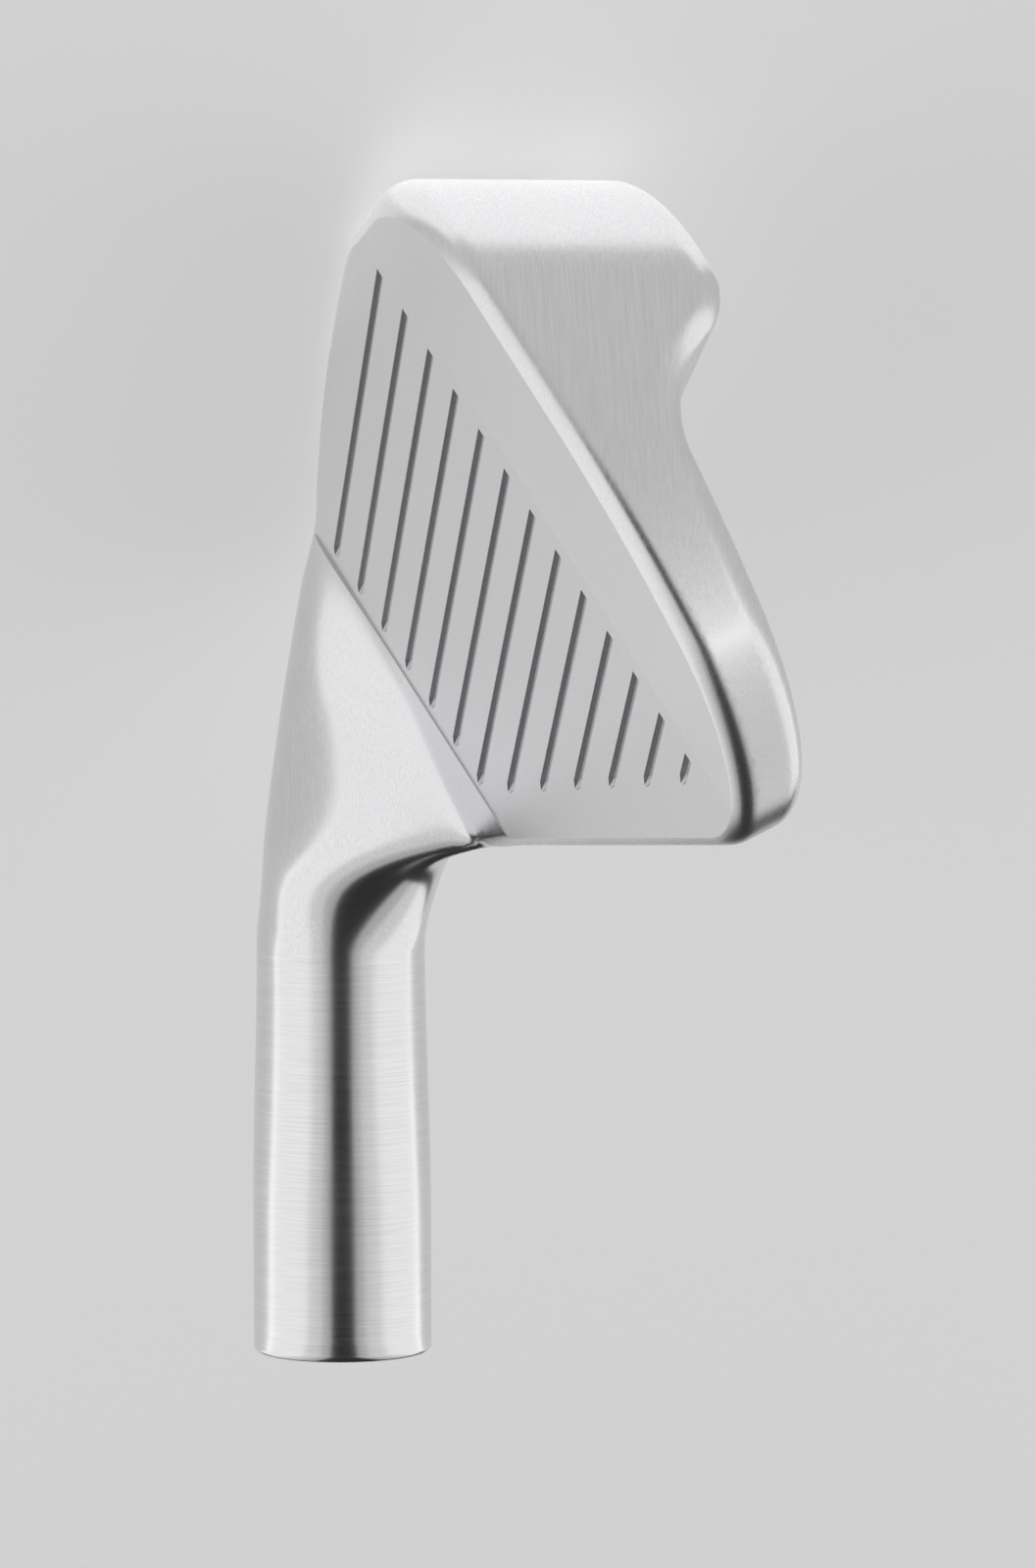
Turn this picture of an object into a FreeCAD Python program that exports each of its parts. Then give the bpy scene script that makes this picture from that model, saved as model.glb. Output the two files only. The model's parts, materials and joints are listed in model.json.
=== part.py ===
import FreeCAD, Part
import math
import os

import Sketcher

# Bare right-handed iron head at address: +Z up, -Y towards the target, +X towards the heel.
# The origin is the mouth of the shaft bore, on the hosel axis.
# The blade is drawn in a frame of its own: its origin is the toe end of the lowest groove, on the
# hitting face, so that x runs along the grooves and height runs up the lofted face.

vec = FreeCAD.Vector

SIZES = {
    # angles of the club at address
    "loft": 27.65,
    "lie": 61.0,
    # toe end of the lowest groove, seen from the mouth of the bore
    "blade_x": -85.4,
    "blade_y": -1.03,
    "blade_z": -47.56,
    # blade section near the toe and at the heel, as depth behind the face and height up it
    "toe_section_x": -20.0,
    "heel_section_x": 56.0,
    "forging_face": -0.3,
    "section_bottom": -16.0,
    "section_top": 56.0,
    "toe_topline_depth": 6.2,
    "toe_waist_depth": 8.1,
    "toe_waist_height": 24.8,
    "toe_shelf_depth": 16.2,
    "toe_shelf_height": 19.2,
    "toe_foot_depth": 18.9,
    "heel_topline_depth": 5.0,
    "heel_waist_depth": 5.8,
    "heel_waist_height": 18.2,
    "heel_shelf_depth": 11.6,
    "heel_shelf_height": 13.0,
    "heel_foot_depth": 15.0,
    "waist_radius": 4.5,
    "shelf_radius": 3.0,
    # outline of the blade on the face
    "toe_x": -15.8,
    "toe_bend_height": 30.2,
    "toe_bend_radius": 62.0,
    "toe_peak_x": -8.6,
    "toe_peak_height": 53.1,
    "toe_peak_radius": 12.0,
    "topline_end_x": 80.0,
    "topline_end_height": 10.3,
    "trim_left": -45.0,
    "trim_top": 80.0,
    "trim_bottom": -40.0,
    # lower toe corner, looked at along the sole
    "toe_corner_radius": 14.0,
    "toe_corner_tilt": 7.0,
    "toe_corner_x": -15.8,
    "toe_corner_top": 22.0,
    "toe_corner_z": -2.6,
    "toe_corner_heel_x": 20.0,
    "toe_corner_heel_z": -6.8,
    # sole: camber from front to back, rocker from heel to toe
    "camber_radius": 32.0,
    "camber_centre_y": 7.0,
    "camber_corner_z": -15.37,
    "sole_front_y": -14.0,
    "sole_front_z": 2.25,
    "sole_back_y": 34.0,
    "sole_back_z": 7.29,
    "rocker_axis_z": 219.4,
    "rocker_centre_x": 22.0,
    "rocker_sweep": 60.0,
    # rounded edges
    "trailing_edge_radius": 5.0,
    "front_edge_radius": 1.7,
    "back_edge_radius": 2.0,
    # hosel and bore, as radius and distance up the hosel axis from the mouth of the bore
    "axis_radius": 0.0,
    "hosel_radius": 6.75,
    "hosel_end_z": 1.0,
    "hosel_rim_radius": 0.45,
    "hosel_parallel_z": -10.0,
    "hosel_flow_radius": 300.0,
    "hosel_waist_radius": 6.37,
    "weld_z": -29.8,
    "bore_radius": 4.75,
    "bore_lead_radius": 5.35,
    "bore_lead_z": 0.4,
    "bore_floor_z": -26.0,
    "pilot_radius": 2.6,
    "pilot_length": 8.6,
    # neck, fanned about the crotch between topline and hosel, and what is trimmed to make room for it
    "crotch_radius": 9.5,
    "heel_turn": 102.0,
    "heel_trim_near": -20.0,
    "heel_trim_far": 70.0,
    "heel_trim_front": -40.0,
    "heel_trim_back": 60.0,
    "heel_trim_length": 60.0,
    # swing weight pin and the plug over it
    "pin_radius": 2.55,
    "pin_end_radius": 2.15,
    "pin_bottom_z": -38.4,
    "pin_lower_z": -38.0,
    "pin_upper_z": -30.8,
    "pin_top_z": -30.4,
    "plug_radius": 2.6,
    "plug_end_radius": 2.3,
    "plug_lower_z": -30.1,
    "plug_upper_z": -26.7,
    "plug_top_z": -26.4,
    "plug_socket_radius": 0.9,
    "plug_socket_z": -28.0,
    # milled hitting face and its grooves, along the face and up it
    "milled_toe_x": -30.0,
    "milled_heel_low_x": 48.7,
    "milled_heel_high_x": 46.6,
    "milled_low": -12.0,
    "milled_high": 60.0,
    "milled_reach": 25.0,
    "groove_depth": 0.45,
    "groove_pitch": 3.5,
    "groove_half_width": 0.4,
    "groove_point": 0.6,
    "groove_toe_x": 0.0,
    "full_groove_x": 46.6,
    "short_groove_x": 41.5,
    "short_groove_step": 7.4,
}

# Seven grooves run the whole way to the heel, and the rest stop short along the topline.
GROOVE_COUNT = 13
FULL_GROOVES = 7

# Points around each section of the neck, and along an edge to tell where it runs.
NECK_POINTS = 24
EDGE_POINTS = 5

# The ovals of the neck from hosel to heel. Each row is the turn about the crotch, the reach of the
# crotch side and of the heel side, the front and back of the crotch side, the front and back of the
# heel side, and a fullness that is 1 for an ellipse and less for squarer corners.
NECK_OVALS = [
    (44, 9.6, 23.1, -5.3, 7.5, -5.4, 7.5, 0.98),
    (59, 9.5, 26.2, -4.4, 8.6, -5.2, 8.2, 0.94),
    (74, 9.5, 30.2, -1.6, 10.8, -4.8, 9.8, 0.86),
    (88, 9.5, 32.8, 4.2, 14.0, -3.9, 12.4, 0.74),
    (SIZES["heel_turn"], 9.6, 33.7, 9.9, 16.0, -2.0, 14.6, 0.6),
]

document = FreeCAD.newDocument("IronHead")
sheet = document.addObject("Spreadsheet::Sheet", "Sizes")
for row, (alias, number) in enumerate(SIZES.items(), start=1):
    sheet.set(f"A{row}", alias)
    sheet.set(f"B{row}", str(number))
    sheet.setAlias(f"B{row}", alias)
document.recompute()


def size(alias):
    """One driving dimension, read back from the sheet."""
    return float(sheet.get(alias))


def new_body(label):
    """A body for one physical piece, named after its file."""
    body = document.addObject("PartDesign::Body", label)
    body.Label = label
    return body


def new_sketch(body, name, role, offset=None, axis=None, angle=None):
    """A sketch on an origin plane, shifted and turned by expressions."""
    sketch = body.newObject("Sketcher::SketchObject", name)
    plane = next(item for item in body.Origin.OriginFeatures if item.Role == role)
    sketch.AttachmentSupport = [(plane, "")]
    sketch.MapMode = "FlatFace"
    if axis:
        sketch.AttachmentOffset = FreeCAD.Placement(vec(), FreeCAD.Rotation(vec(*axis), 1))
        sketch.setExpression(".AttachmentOffset.Rotation.Angle", angle)
    for direction, expression in (offset or {}).items():
        sketch.setExpression(f".AttachmentOffset.Base.{direction}", expression)
    return sketch


def bind(sketch, kind, places, alias):
    """A dimension constraint driven by one cell of the sheet."""
    index = sketch.addConstraint(Sketcher.Constraint(kind, *places, size(alias)))
    sketch.setExpression(f"Constraints[{index}]", f"Sizes.{alias}")


def draw_corners(sketch, corners, rounds=None):
    """A closed outline through corners, each a pair of named dimensions, some of them rounded."""
    points = [vec(size(across), size(up), 0) for across, up in corners]
    radii = [size(rounds[place]) if place in (rounds or {}) else 0 for place in range(len(points))]
    entries, exits, centres = [], [], []
    for place, (corner, radius) in enumerate(zip(points, radii)):
        back = (points[place - 1] - corner).normalize()
        ahead = (points[(place + 1) % len(points)] - corner).normalize()
        half_turn = (math.pi - back.getAngle(ahead)) / 2
        reach = radius * math.tan(half_turn)
        entries.append(corner + back * reach)
        exits.append(corner + ahead * reach)
        centres.append(corner + (back + ahead).normalize() * (radius / math.cos(half_turn)))
    lines = [
        sketch.addGeometry(Part.LineSegment(leave, arrive), False)
        for leave, arrive in zip(exits, entries[1:] + entries[:1])
    ]
    for place, (across, up) in enumerate(corners):
        before, after = lines[place - 1], lines[place]
        if radii[place]:
            spokes = [entries[place] - centres[place], exits[place] - centres[place]]
            left_turn = spokes[0].cross(spokes[1]).z > 0
            first, last = (1, 2) if left_turn else (2, 1)
            start, end = spokes if left_turn else reversed(spokes)
            circle = Part.Circle(centres[place], vec(0, 0, 1), radii[place])
            start_angle = math.atan2(start.y, start.x)
            sweep = start.getAngle(end)
            arc = sketch.addGeometry(Part.ArcOfCircle(circle, start_angle, start_angle + sweep))
            sketch.addConstraint(Sketcher.Constraint("Tangent", before, 2, arc, first))
            sketch.addConstraint(Sketcher.Constraint("Tangent", arc, last, after, 1))
            bind(sketch, "Radius", (arc,), rounds[place])
            corner = sketch.addGeometry(Part.Point(points[place]), True)
            sketch.addConstraint(Sketcher.Constraint("PointOnObject", corner, 1, before))
            sketch.addConstraint(Sketcher.Constraint("PointOnObject", corner, 1, after))
        else:
            sketch.addConstraint(Sketcher.Constraint("Coincident", before, 2, after, 1))
            corner = after
        bind(sketch, "DistanceX", (-1, 1, corner, 1), across)
        bind(sketch, "DistanceY", (-1, 1, corner, 1), up)
    document.recompute()


def cut(body, kind, name, sketch, **settings):
    """A Pocket or Groove, checked to have taken something away."""
    document.recompute()
    before = body.Shape.Volume
    feature = body.newObject(f"PartDesign::{kind}", name)
    feature.Profile = sketch
    feature.Refine = True
    for setting, value in settings.items():
        setattr(feature, setting, value)
    document.recompute()
    if not body.Shape.Volume < before:
        raise ValueError(f"{name} cut nothing")
    return feature


def add_blade(body):
    """The forged blade: section swept from toe to heel, then trimmed to its outline and sole."""
    sections = []
    for end in ("toe", "heel"):
        section = new_sketch(
            body,
            f"{end.capitalize()}Section",
            "YZ_Plane",
            {"z": f"Sizes.{end}_section_x"},
            (0, 0, 1),
            "-Sizes.loft",
        )
        draw_corners(
            section,
            [
                ("forging_face", "section_bottom"),
                ("forging_face", "section_top"),
                (f"{end}_topline_depth", "section_top"),
                (f"{end}_waist_depth", f"{end}_waist_height"),
                (f"{end}_shelf_depth", f"{end}_shelf_height"),
                (f"{end}_foot_depth", "section_bottom"),
            ],
            {3: "waist_radius", 4: "shelf_radius"},
        )
        sections.append(section)
    blank = body.newObject("PartDesign::AdditiveLoft", "Blank")
    blank.Profile = sections[0]
    blank.Sections = sections[1:]
    blank.Ruled = True
    document.recompute()

    outline = new_sketch(body, "Outline", "XZ_Plane", None, (1, 0, 0), "-Sizes.loft")
    draw_corners(
        outline,
        [
            ("toe_x", "trim_bottom"),
            ("toe_x", "toe_bend_height"),
            ("toe_peak_x", "toe_peak_height"),
            ("topline_end_x", "topline_end_height"),
            ("topline_end_x", "trim_top"),
            ("trim_left", "trim_top"),
            ("trim_left", "trim_bottom"),
        ],
        {1: "toe_bend_radius", 2: "toe_peak_radius"},
    )
    cut(body, "Pocket", "OutlineTrim", outline, SideType="Symmetric", Type="ThroughAll")

    add_sole(body)
    round_edges(body, "TrailingEdge", "trailing_edge_radius", is_trailing_edge)

    corner = new_sketch(body, "ToeCorner", "XZ_Plane", None, (1, 0, 0), "Sizes.toe_corner_tilt")
    draw_corners(
        corner,
        [
            ("toe_corner_x", "toe_corner_top"),
            ("toe_corner_x", "toe_corner_z"),
            ("toe_corner_heel_x", "toe_corner_heel_z"),
            ("toe_corner_heel_x", "trim_bottom"),
            ("trim_left", "trim_bottom"),
            ("trim_left", "toe_corner_top"),
        ],
        {1: "toe_corner_radius"},
    )
    cut(body, "Pocket", "ToeCornerTrim", corner, SideType="Symmetric", Type="ThroughAll")
    round_edges(body, "FrontEdges", "front_edge_radius", is_front_edge)
    round_edges(body, "BackEdges", "back_edge_radius", is_back_edge)


def add_sole(body):
    """Trims the sole to a camber turned about a high cross axis, which gives it its rocker."""
    sketch = new_sketch(body, "Sole", "YZ_Plane", {"z": "Sizes.rocker_centre_x"})
    draw_corners(
        sketch,
        [
            ("sole_front_y", "sole_front_z"),
            ("camber_centre_y", "camber_corner_z"),
            ("sole_back_y", "sole_back_z"),
            ("sole_back_y", "trim_bottom"),
            ("sole_front_y", "trim_bottom"),
        ],
        {1: "camber_radius"},
    )
    front, back, height = size("sole_front_y"), size("sole_back_y"), size("rocker_axis_z")
    axis = sketch.addGeometry(Part.LineSegment(vec(front, height, 0), vec(back, height, 0)), True)
    sketch.addConstraint(Sketcher.Constraint("Horizontal", axis))
    bind(sketch, "DistanceX", (-1, 1, axis, 1), "sole_front_y")
    bind(sketch, "DistanceX", (-1, 1, axis, 2), "sole_back_y")
    bind(sketch, "DistanceY", (-1, 1, axis, 1), "rocker_axis_z")
    document.recompute()
    turned = {"ReferenceAxis": (sketch, ["Axis0"]), "Angle": size("rocker_sweep"), "Midplane": True}
    cut(body, "Groove", "SoleTrim", sketch, **turned)


def round_edges(body, name, radius, wanted):
    """Rounds the edges that a rule picks by where they run: depth behind the face, height up it."""
    lean = math.radians(size("loft"))
    edges = []
    for number, edge in enumerate(body.Shape.Edges, start=1):
        points = edge.discretize(EDGE_POINTS)
        depths = [point.y * math.cos(lean) - point.z * math.sin(lean) for point in points]
        heights = [point.y * math.sin(lean) + point.z * math.cos(lean) for point in points]
        if wanted([point.x for point in points], depths, heights):
            edges.append(f"Edge{number}")
    base = body.Tip
    before = body.Shape.Volume
    fillet = body.newObject("PartDesign::Fillet", name)
    fillet.Base = (base, edges)
    fillet.setExpression("Radius", f"Sizes.{radius}")
    document.recompute()
    if not 0 < body.Shape.Volume < before:
        raise ValueError(f"{name} rounded nothing")


def is_trailing_edge(across, depths, heights):
    """The long corner between the sole and the foot of the back."""
    behind = min(depths) > size("toe_waist_depth")
    low = max(heights) < size("heel_shelf_height")
    return behind and low and max(across) - min(across) > size("camber_radius")


def is_front_edge(across, depths, heights):
    """The rim of the face, apart from its cut end at the heel."""
    flat = all(math.isclose(depth, size("forging_face"), abs_tol=0.01) for depth in depths)
    return flat and min(across) < size("milled_heel_low_x")


def is_back_edge(across, depths, heights):
    """The back of the topline, which leads on around the toe."""
    behind = min(depths) > size("heel_topline_depth")
    return behind and max(heights) - min(heights) > size("toe_shelf_height")


def turned_sketch(body, name, centre_x, centre_z, turn):
    """A sketch square to the xz plane: its x points away from a centre, turned down this far."""
    sketch = body.newObject("Sketcher::SketchObject", name)
    plane = next(item for item in body.Origin.OriginFeatures if item.Role == "XY_Plane")
    sketch.AttachmentSupport = [(plane, "")]
    sketch.MapMode = "FlatFace"
    turned = FreeCAD.Rotation(vec(0, 1, 0), turn)
    sketch.AttachmentOffset = FreeCAD.Placement(vec(centre_x, 0, centre_z), turned)
    return sketch


def axis_place(distance, aside=0.0):
    """The x and z, in the blade's frame, of a place up the hosel axis and aside towards the toe."""
    lean = math.radians(size("lie"))
    return (
        distance * math.cos(lean) - aside * math.sin(lean) - size("blade_x"),
        distance * math.sin(lean) + aside * math.cos(lean) - size("blade_z"),
    )


def add_neck(body):
    """The neck: leaning ovals fanned about the crotch, from the heel of the blade to the hosel."""
    centre = axis_place(size("weld_z"), size("hosel_radius") + size("crotch_radius"))
    heel_cut = turned_sketch(body, "HeelCut", *centre, size("heel_turn"))
    draw_corners(
        heel_cut,
        [
            ("heel_trim_near", "heel_trim_front"),
            ("heel_trim_far", "heel_trim_front"),
            ("heel_trim_far", "heel_trim_back"),
            ("heel_trim_near", "heel_trim_back"),
        ],
    )
    cut(body, "Pocket", "HeelTrim", heel_cut, Length=size("heel_trim_length"), Reversed=True)

    waist = size("hosel_waist_radius")
    reach = size("hosel_radius") + size("crotch_radius")
    front, back = -size("blade_y") - waist, -size("blade_y") + waist
    hosel_end = (90 - size("lie"), reach - waist, reach + waist, front, back, front, back, 1.0)
    sections = []
    for number, (turn, *oval) in enumerate([hosel_end] + NECK_OVALS):
        sketch = turned_sketch(body, f"Neck{number}", *centre, turn)
        curve = Part.BSplineCurve()
        points = rounded_section(*oval)
        even = [step / len(points) for step in range(len(points) + 1)]
        curve.interpolate(points, PeriodicFlag=True, Parameters=even)
        sketch.addGeometry(curve, False)
        sections.append(sketch)
    document.recompute()
    neck = body.newObject("PartDesign::AdditiveLoft", "Neck")
    neck.Profile = sections[0]
    neck.Sections = sections[1:]
    document.recompute()

    pilot = turned_sketch(body, "Pilot", *axis_place(size("weld_z")), 90 - size("lie"))
    circle = pilot.addGeometry(Part.Circle(vec(), vec(0, 0, 1), size("pilot_radius")), False)
    pilot.addConstraint(Sketcher.Constraint("Coincident", circle, 3, -1, 1))
    bind(pilot, "Radius", (circle,), "pilot_radius")
    cut(body, "Pocket", "PilotHole", pilot, Length=size("pilot_length"))


def rounded_section(near, far, front_near, back_near, front_far, back_far, fullness):
    """Points around a leaning oval that starts at its far side, the one away from the crotch."""
    points = []
    for step in range(NECK_POINTS):
        angle = math.tau * step / NECK_POINTS
        along = (1 + math.copysign(abs(math.cos(angle)) ** fullness, math.cos(angle))) / 2
        across = (1 + math.copysign(abs(math.sin(angle)) ** fullness, math.sin(angle))) / 2
        front = front_near + (front_far - front_near) * along
        back = back_near + (back_far - back_near) * along
        points.append(vec(near + (far - near) * along, front + (back - front) * across, 0))
    return points


def add_face(body):
    """Mills the hitting face flat as far as the heel, then cuts the grooves into it."""
    milled = new_sketch(body, "MilledFace", "XZ_Plane", None, (1, 0, 0), "-Sizes.loft")
    draw_corners(
        milled,
        [
            ("milled_toe_x", "milled_low"),
            ("milled_heel_low_x", "milled_low"),
            ("milled_heel_high_x", "milled_high"),
            ("milled_toe_x", "milled_high"),
        ],
    )
    cut(body, "Pocket", "FaceMilling", milled, Length=size("milled_reach"), Reversed=True)

    grooves = new_sketch(body, "Grooves", "XZ_Plane", None, (1, 0, 0), "-Sizes.loft")
    toe, point, half = size("groove_toe_x"), size("groove_point"), size("groove_half_width")
    for number in range(GROOVE_COUNT):
        height = number * size("groove_pitch")
        short = number - FULL_GROOVES
        heel = size("short_groove_x") - short * size("short_groove_step")
        if short < 0:
            heel = size("full_groove_x")
        corners = [
            vec(toe, height - half, 0),
            vec(heel - point, height - half, 0),
            vec(heel, height, 0),
            vec(heel - point, height + half, 0),
            vec(toe, height + half, 0),
        ]
        for start, end in zip(corners, corners[1:] + corners[:1]):
            grooves.addGeometry(Part.LineSegment(start, end), False)
    cut(body, "Pocket", "FaceGrooves", grooves, Length=size("groove_depth"))


def turn_about_axis(body, corners, rounds=None):
    """A piece turned about the hosel axis, from radius and height pairs."""
    body.Placement = FreeCAD.Placement(vec(), FreeCAD.Rotation(vec(0, 1, 0), 90 - size("lie")))
    body.setExpression(".Placement.Rotation.Angle", "90 - Sizes.lie")
    profile = new_sketch(body, f"{body.Label}_profile", "XZ_Plane")
    draw_corners(profile, corners, rounds)
    solid = body.newObject("PartDesign::Revolution", f"{body.Label}_turned")
    solid.Profile = profile
    solid.ReferenceAxis = (profile, ["V_Axis"])
    document.recompute()


def make_blade():
    body = new_body("blade_forging")
    add_blade(body)
    add_neck(body)
    add_face(body)
    body.Placement.Base = vec(size("blade_x"), size("blade_y"), size("blade_z"))
    for direction in "xyz":
        body.setExpression(f".Placement.Base.{direction}", f"Sizes.blade_{direction}")
    return body


def make_hosel():
    body = new_body("hosel_tube")
    corners = [
        ("pilot_radius", "weld_z"),
        ("hosel_waist_radius", "weld_z"),
        ("hosel_radius", "hosel_parallel_z"),
        ("hosel_radius", "hosel_end_z"),
        ("bore_lead_radius", "hosel_end_z"),
        ("bore_radius", "bore_lead_z"),
        ("bore_radius", "bore_floor_z"),
        ("pilot_radius", "bore_floor_z"),
    ]
    turn_about_axis(body, corners, {2: "hosel_flow_radius", 3: "hosel_rim_radius"})
    return body


def make_weight_pin():
    body = new_body("swing_weight_pin")
    corners = [
        ("axis_radius", "pin_bottom_z"),
        ("pin_end_radius", "pin_bottom_z"),
        ("pin_radius", "pin_lower_z"),
        ("pin_radius", "pin_upper_z"),
        ("pin_end_radius", "pin_top_z"),
        ("axis_radius", "pin_top_z"),
    ]
    turn_about_axis(body, corners)
    return body


def make_retaining_plug():
    body = new_body("weight_retaining_plug")
    corners = [
        ("axis_radius", "pin_top_z"),
        ("plug_end_radius", "pin_top_z"),
        ("plug_radius", "plug_lower_z"),
        ("plug_radius", "plug_upper_z"),
        ("plug_end_radius", "plug_top_z"),
        ("plug_socket_radius", "plug_top_z"),
        ("plug_socket_radius", "plug_socket_z"),
        ("axis_radius", "plug_socket_z"),
    ]
    turn_about_axis(body, corners)
    return body


pieces = [make_blade(), make_hosel(), make_weight_pin(), make_retaining_plug()]
document.recompute()

for item in document.Objects:
    if "Invalid" in item.State or "Error" in item.State:
        raise ValueError(f"{item.Label} did not build: {item.State}")
os.makedirs("parts", exist_ok=True)
for piece in pieces:
    if piece.Shape.isNull() or not piece.Shape.isValid() or len(piece.Shape.Solids) != 1:
        raise ValueError(f"{piece.Label} is not one sound solid")
    piece.Shape.exportStep(f"parts/{piece.Label}.step")
    print(piece.Label, round(piece.Shape.Volume), "mm3")
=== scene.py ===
import json
import math

import bmesh
import bpy
import numpy as np
import openvdb
from mathutils import Matrix, Vector


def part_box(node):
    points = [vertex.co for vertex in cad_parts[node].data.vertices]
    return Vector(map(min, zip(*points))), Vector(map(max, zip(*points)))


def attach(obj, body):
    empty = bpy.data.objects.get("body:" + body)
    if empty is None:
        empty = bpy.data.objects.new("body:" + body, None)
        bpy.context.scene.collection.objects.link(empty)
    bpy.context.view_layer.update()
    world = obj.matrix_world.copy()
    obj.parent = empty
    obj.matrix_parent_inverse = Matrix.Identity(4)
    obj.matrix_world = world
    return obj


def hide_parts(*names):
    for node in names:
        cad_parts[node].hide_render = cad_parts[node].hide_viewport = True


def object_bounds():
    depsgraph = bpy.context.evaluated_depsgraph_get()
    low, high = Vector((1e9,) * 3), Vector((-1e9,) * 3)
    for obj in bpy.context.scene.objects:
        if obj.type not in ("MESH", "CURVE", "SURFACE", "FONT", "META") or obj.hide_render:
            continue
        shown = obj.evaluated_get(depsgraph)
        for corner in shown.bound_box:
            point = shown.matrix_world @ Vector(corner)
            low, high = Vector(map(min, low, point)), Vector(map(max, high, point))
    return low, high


# A bare iron head standing on its sole, seen from low down on the toe side.
# Shapes are worked out in millimetres in the blade's own frame: its origin is the toe end of the
# lowest groove on the hitting face, x runs along the grooves to the heel and z is up.

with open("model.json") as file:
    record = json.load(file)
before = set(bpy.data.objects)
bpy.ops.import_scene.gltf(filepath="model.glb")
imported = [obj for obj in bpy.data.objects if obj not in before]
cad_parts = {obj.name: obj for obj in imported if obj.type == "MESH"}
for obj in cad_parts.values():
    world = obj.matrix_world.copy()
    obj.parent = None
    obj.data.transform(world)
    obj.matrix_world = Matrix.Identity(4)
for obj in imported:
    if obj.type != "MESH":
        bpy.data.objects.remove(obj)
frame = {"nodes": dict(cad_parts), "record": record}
cad_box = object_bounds()
LOW = Vector(cad_box[0])
BORE = frame["record"]["mounts"][0]
AXIS = Vector(BORE["axis"]).normalized()
BORE_RADIUS = BORE["dims"]["r_mm"]

MM = 0.001
LOFT = math.radians(27.65)
UP_FACE = np.array([0.0, math.sin(LOFT), math.cos(LOFT)])
OUT_OF_FACE = np.array([0.0, -math.cos(LOFT), math.sin(LOFT)])

# The blade's frame, placed from the toe end and the ground of the whole part.
TOE_X = -15.8
GROUND_Z = -5.9
HOSEL_Y = 1.03
CAD_GROUND_Z = -5.6
ORIGIN = Vector((LOW.x / MM - TOE_X, -HOSEL_Y, LOW.z / MM - CAD_GROUND_Z))

# Back of the blade at its toe and heel ends: the depth behind the face at two heights, the top and
# the foot, and between them the (depth, height) of the waist and of the shelf's edge.
BACK_TOP = 56.0
BACK_FOOT = -16.0
BACK_TOE = {"x": -20.0, "top": 5.25, "waist": (8.15, 22.2), "shelf": (15.9, 20.0), "foot": 18.4}
BACK_HEEL = {"x": 56.0, "top": 5.0, "waist": (5.8, 18.2), "shelf": (11.6, 13.0), "foot": 15.0}
WAIST_RADIUS = 8.5
SHELF_RADIUS = 4.6

# Outline on the face, as (x, height), and its rounded corners.
TOE_BEND = (TOE_X, 30.2)
TOE_PEAK = (-8.3, 54.1)
TOPLINE_END = (80.0, 11.2)
TOE_BEND_RADIUS = 62.0
TOE_PEAK_RADIUS = 13.5

# Lower toe corner, whose flank rises towards the back.
CORNER_TILT = math.radians(1.0)
CORNER_START = (TOE_X, -2.45)
CORNER_END = (20.0, -7.7)
CORNER_RADIUS = 12.4
CORNER_TO_SOLE_RADIUS = 8.0

# Sole: a camber from front to back, turned about a high cross axis for its rocker.
CAMBER_RADIUS = 90.0
CAMBER_Y = 6.0
ROCKER_RADIUS = 300.0
ROCKER_X = 20.0

# Rounded edges of the forging and the stock that milling takes off its face.
TRAILING_RADIUS = 2.4
RIM_RADIUS = 1.7
CORNER_RIM_RADIUS = 2.4
BACK_RIM_RADIUS = 2.0
FACE_STOCK = 0.1
HEEL_SWELL_X = 46.0
HEEL_SWELL_RADIUS = 70.0

# Heights on the face between which the trailing edge's radius gives way to the back rim's, and the
# reach of the softer rim about the lower toe corner, towards the heel and up the face.
LOW_EDGE = (2.0, 14.0)
SOFT_RIM_X = (-12.0, 6.0)
SOFT_RIM_UP = (-2.0, 10.0)

# Hosel and neck. Each row of ovals holds the turn about the crotch in degrees, the reach of the
# crotch side and of the heel side, the front and back of the crotch side, the front and back of
# the heel side, and a fullness that is 1 for an ellipse and less for squarer corners.
HOSEL_RADIUS = 6.75
WAIST_OF_HOSEL = 6.37
CROTCH_RADIUS = 9.5
WELD = -29.8
PARALLEL_START = -10.0
LIE = math.asin(AXIS.z)
WELD_TURN = 90 - math.degrees(LIE)
HOSEL_REACH = HOSEL_RADIUS + CROTCH_RADIUS
NECK_OVALS = np.array([
    (WELD_TURN, HOSEL_REACH - WAIST_OF_HOSEL, HOSEL_REACH + WAIST_OF_HOSEL,
     HOSEL_Y - WAIST_OF_HOSEL, HOSEL_Y + WAIST_OF_HOSEL,
     HOSEL_Y - WAIST_OF_HOSEL, HOSEL_Y + WAIST_OF_HOSEL, 1.0),
    (44, 10.0, 23.2, -5.15, 8.25, -4.85, 8.1, 0.98),
    (59, 10.05, 26.2, -4.35, 10.0, -4.75, 8.9, 0.94),
    (74, 9.8, 30.2, -1.0, 11.75, -5.0, 10.4, 0.86),
    (88, 9.55, 33.4, 3.65, 13.45, -4.8, 12.2, 0.74),
    (102, 9.5, 35.6, 8.6, 15.5, -4.4, 13.9, 0.62),
    (116, 9.5, 38.6, 10.8, 17.3, -3.2, 15.0, 0.55),
])
NECK_ENDS = 88.0
BLADE_STARTS = 113.0
PAST_OVAL = 0.3
OVAL_CORE = 0.3
LEAST_STEEPNESS = 0.01

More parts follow.
